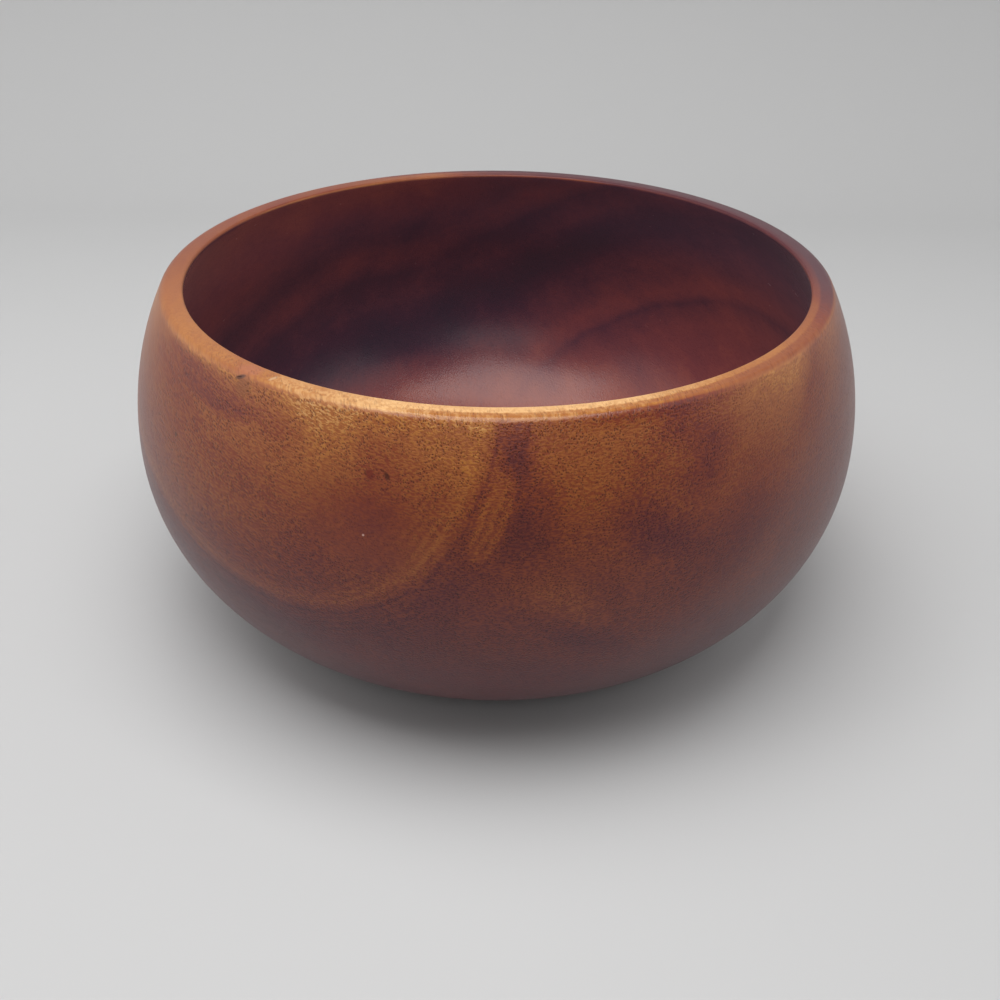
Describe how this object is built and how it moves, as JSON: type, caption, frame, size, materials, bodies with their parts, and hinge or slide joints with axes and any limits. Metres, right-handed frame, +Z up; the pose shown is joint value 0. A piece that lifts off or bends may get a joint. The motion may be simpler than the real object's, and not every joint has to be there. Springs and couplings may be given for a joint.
{
  "type": "wooden bowl",
  "caption": "Round turned wooden bowl with a full belly, a drawn-in flat-topped rim and a flat base, for serving salad, fruit or snacks.",
  "frame": {"origin": "centre of the base, on the table that the bowl stands on", "axes": "+Z up along the axis of turning; -Y towards the viewer of the picture, +X to the viewer's right"},
  "size_m": [0.254, 0.254, 0.124],
  "materials": {
    "turned_wood": "satin lacquer over figured red-brown and golden hardwood",
    "rim_knot_wood": "satin lacquer over pinkish brown branch wood",
    "wall_knot_wood": "satin lacquer over dark branch wood",
    "red_pin_wood": "satin lacquer over red branch wood",
    "dark_pin_wood": "satin lacquer over dark branch wood"
  },
  "bodies": {
    "root": {"bowl_body": "turned_wood", "rim_knot": "rim_knot_wood", "wall_knot": "wall_knot_wood", "red_pin_knot": "red_pin_wood", "dark_pin_knot": "dark_pin_wood"}
  },
  "joints": []
}
